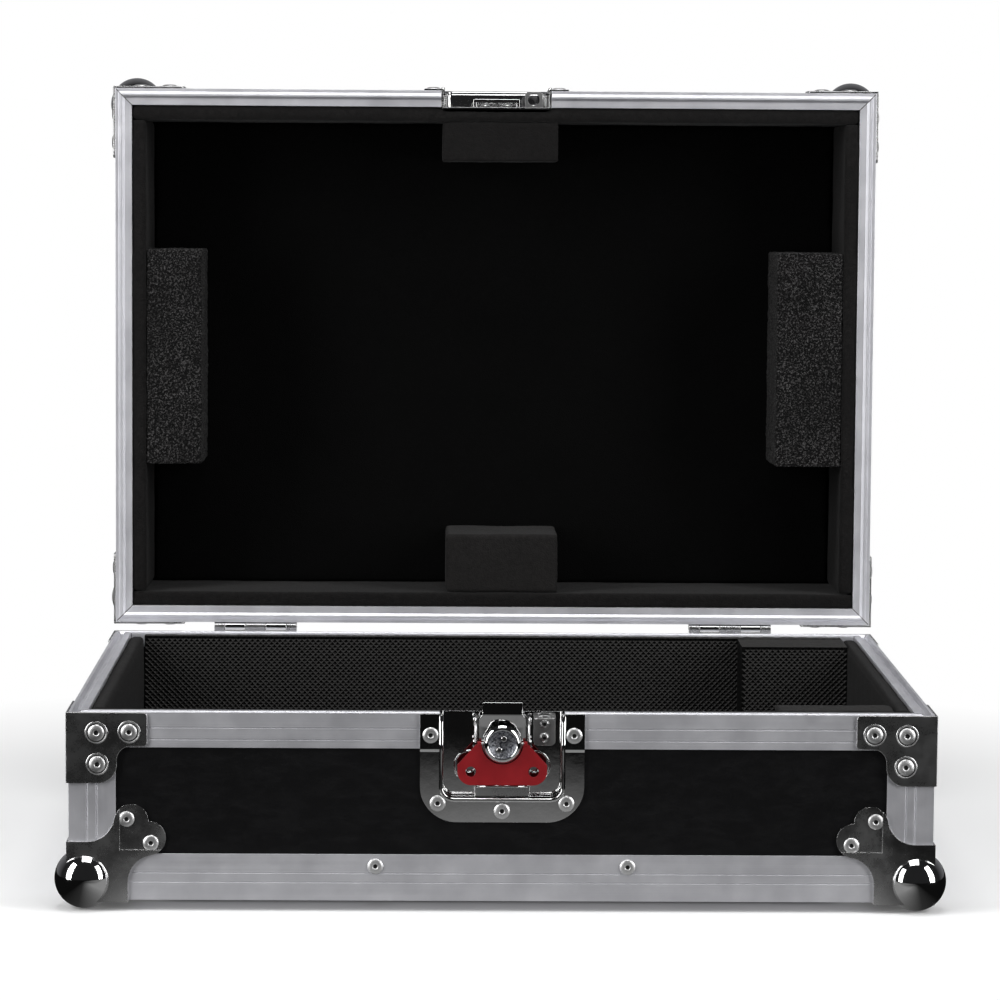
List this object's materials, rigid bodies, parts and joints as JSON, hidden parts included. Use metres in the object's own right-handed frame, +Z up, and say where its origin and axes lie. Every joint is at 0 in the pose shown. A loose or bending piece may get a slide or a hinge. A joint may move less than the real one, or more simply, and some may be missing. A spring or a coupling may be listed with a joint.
{
  "type": "dj player flight case",
  "caption": "Foam-lined flight case for a tabletop disc player: aluminium-edged ply base and lid on stop hinges, recessed twist latch, ball corners and recessed side handles.",
  "frame": {"origin": "centre of the base's footprint, on the floor that its ball corners stand on", "axes": "+X to the right seen from the latch side, +Y from the latch to the hinges, +Z up; the lid is stored open"},
  "size_m": [0.5718, 0.5185, 0.5298],
  "materials": {
    "laminated_ply": "satin black laminate on ply",
    "edging_aluminium": "anodised, satin",
    "zinc_steel": "zinc plated, satin",
    "chrome_steel": "bright plated",
    "red_enamel": "gloss enamel",
    "grip_rubber": "matte",
    "foam": "open-cell foam, matte"
  },
  "bodies": {
    "base": {"base_ball_corners": "zinc_steel", "base_board_pad": "foam", "base_edging": "edging_aluminium", "base_floor_panel": "laminated_ply", "base_front_block": "foam", "base_front_liner": "foam", "base_front_panel": "laminated_ply", "base_front_rim": "edging_aluminium", "base_latch_dish": "chrome_steel", "base_left_liner": "foam", "base_left_panel": "laminated_ply", "base_left_rim": "edging_aluminium", "base_padlock_tab": "chrome_steel", "base_rear_block": "foam", "base_rear_liner": "foam", "base_rear_panel": "laminated_ply", "base_rear_rim": "edging_aluminium", "base_right_liner": "foam", "base_right_panel": "laminated_ply", "base_right_rim": "edging_aluminium", "base_rim_brackets": "zinc_steel", "hinge_base_leaves": "zinc_steel", "hinge_pins": "zinc_steel", "latch_guide": "chrome_steel", "left_handle_dish": "chrome_steel", "right_handle_dish": "chrome_steel"},
    "lid": {"hinge_lid_leaves": "zinc_steel", "latch_keeper": "chrome_steel", "lid_ball_corners": "zinc_steel", "lid_board_pad": "foam", "lid_edging": "edging_aluminium", "lid_front_block": "foam", "lid_front_liner": "foam", "lid_front_panel": "laminated_ply", "lid_front_rim": "edging_aluminium", "lid_latch_dish": "chrome_steel", "lid_left_block": "foam", "lid_left_liner": "foam", "lid_left_panel": "laminated_ply", "lid_left_rim": "edging_aluminium", "lid_padlock_tab": "chrome_steel", "lid_rear_block": "foam", "lid_rear_liner": "foam", "lid_rear_panel": "laminated_ply", "lid_rear_rim": "edging_aluminium", "lid_right_block": "foam", "lid_right_liner": "foam", "lid_right_panel": "laminated_ply", "lid_right_rim": "edging_aluminium", "lid_rim_brackets": "zinc_steel", "lid_top_panel": "laminated_ply"},
    "latch_hub": {"latch_hub": "chrome_steel", "latch_wing_pin": "chrome_steel"},
    "latch_wing": {"latch_wing": "red_enamel"},
    "latch_hook": {"latch_hook": "chrome_steel"},
    "left_handle": {"left_handle_bail": "chrome_steel", "left_handle_grip": "grip_rubber"},
    "right_handle": {"right_handle_bail": "chrome_steel", "right_handle_grip": "grip_rubber"}
  },
  "joints": [
    {"name": "lid_hinge", "type": "hinge", "parent": "base", "child": "lid", "pos_m": [0, 0.1975, 0.1309], "axis": [1, 0, 0], "range_deg": [0, 91.5]},
    {"name": "latch_turn", "type": "hinge", "parent": "base", "child": "latch_hub", "pos_m": [0, -0.19, 0.1088], "axis": [0, 1, 0], "range_deg": [0, 180]},
    {"name": "wing_fold", "type": "hinge", "parent": "latch_hub", "child": "latch_wing", "pos_m": [0, -0.1944, 0.1088], "axis": [-1, 0, 0], "range_deg": [0, 90]},
    {"name": "hook_draw", "type": "slide", "parent": "base", "child": "latch_hook", "axis": [0, 0.7071, -0.7071], "range_m": [0, 0.00424]},
    {"name": "left_handle_fold", "type": "hinge", "parent": "base", "child": "left_handle", "pos_m": [-0.268, 0, 0.08515], "axis": [0, 1, 0], "range_deg": [0, 90], "stiffness_Nm_per_rad": 0.1, "springref_deg": -17.19},
    {"name": "right_handle_fold", "type": "hinge", "parent": "base", "child": "right_handle", "pos_m": [0.268, 0, 0.08515], "axis": [0, -1, 0], "range_deg": [0, 90], "stiffness_Nm_per_rad": 0.1, "springref_deg": -17.19}
  ],
  "couplings": [
    {"joint": "hook_draw", "follows": "latch_turn", "m_per_rad": 0.0013505}
  ]
}
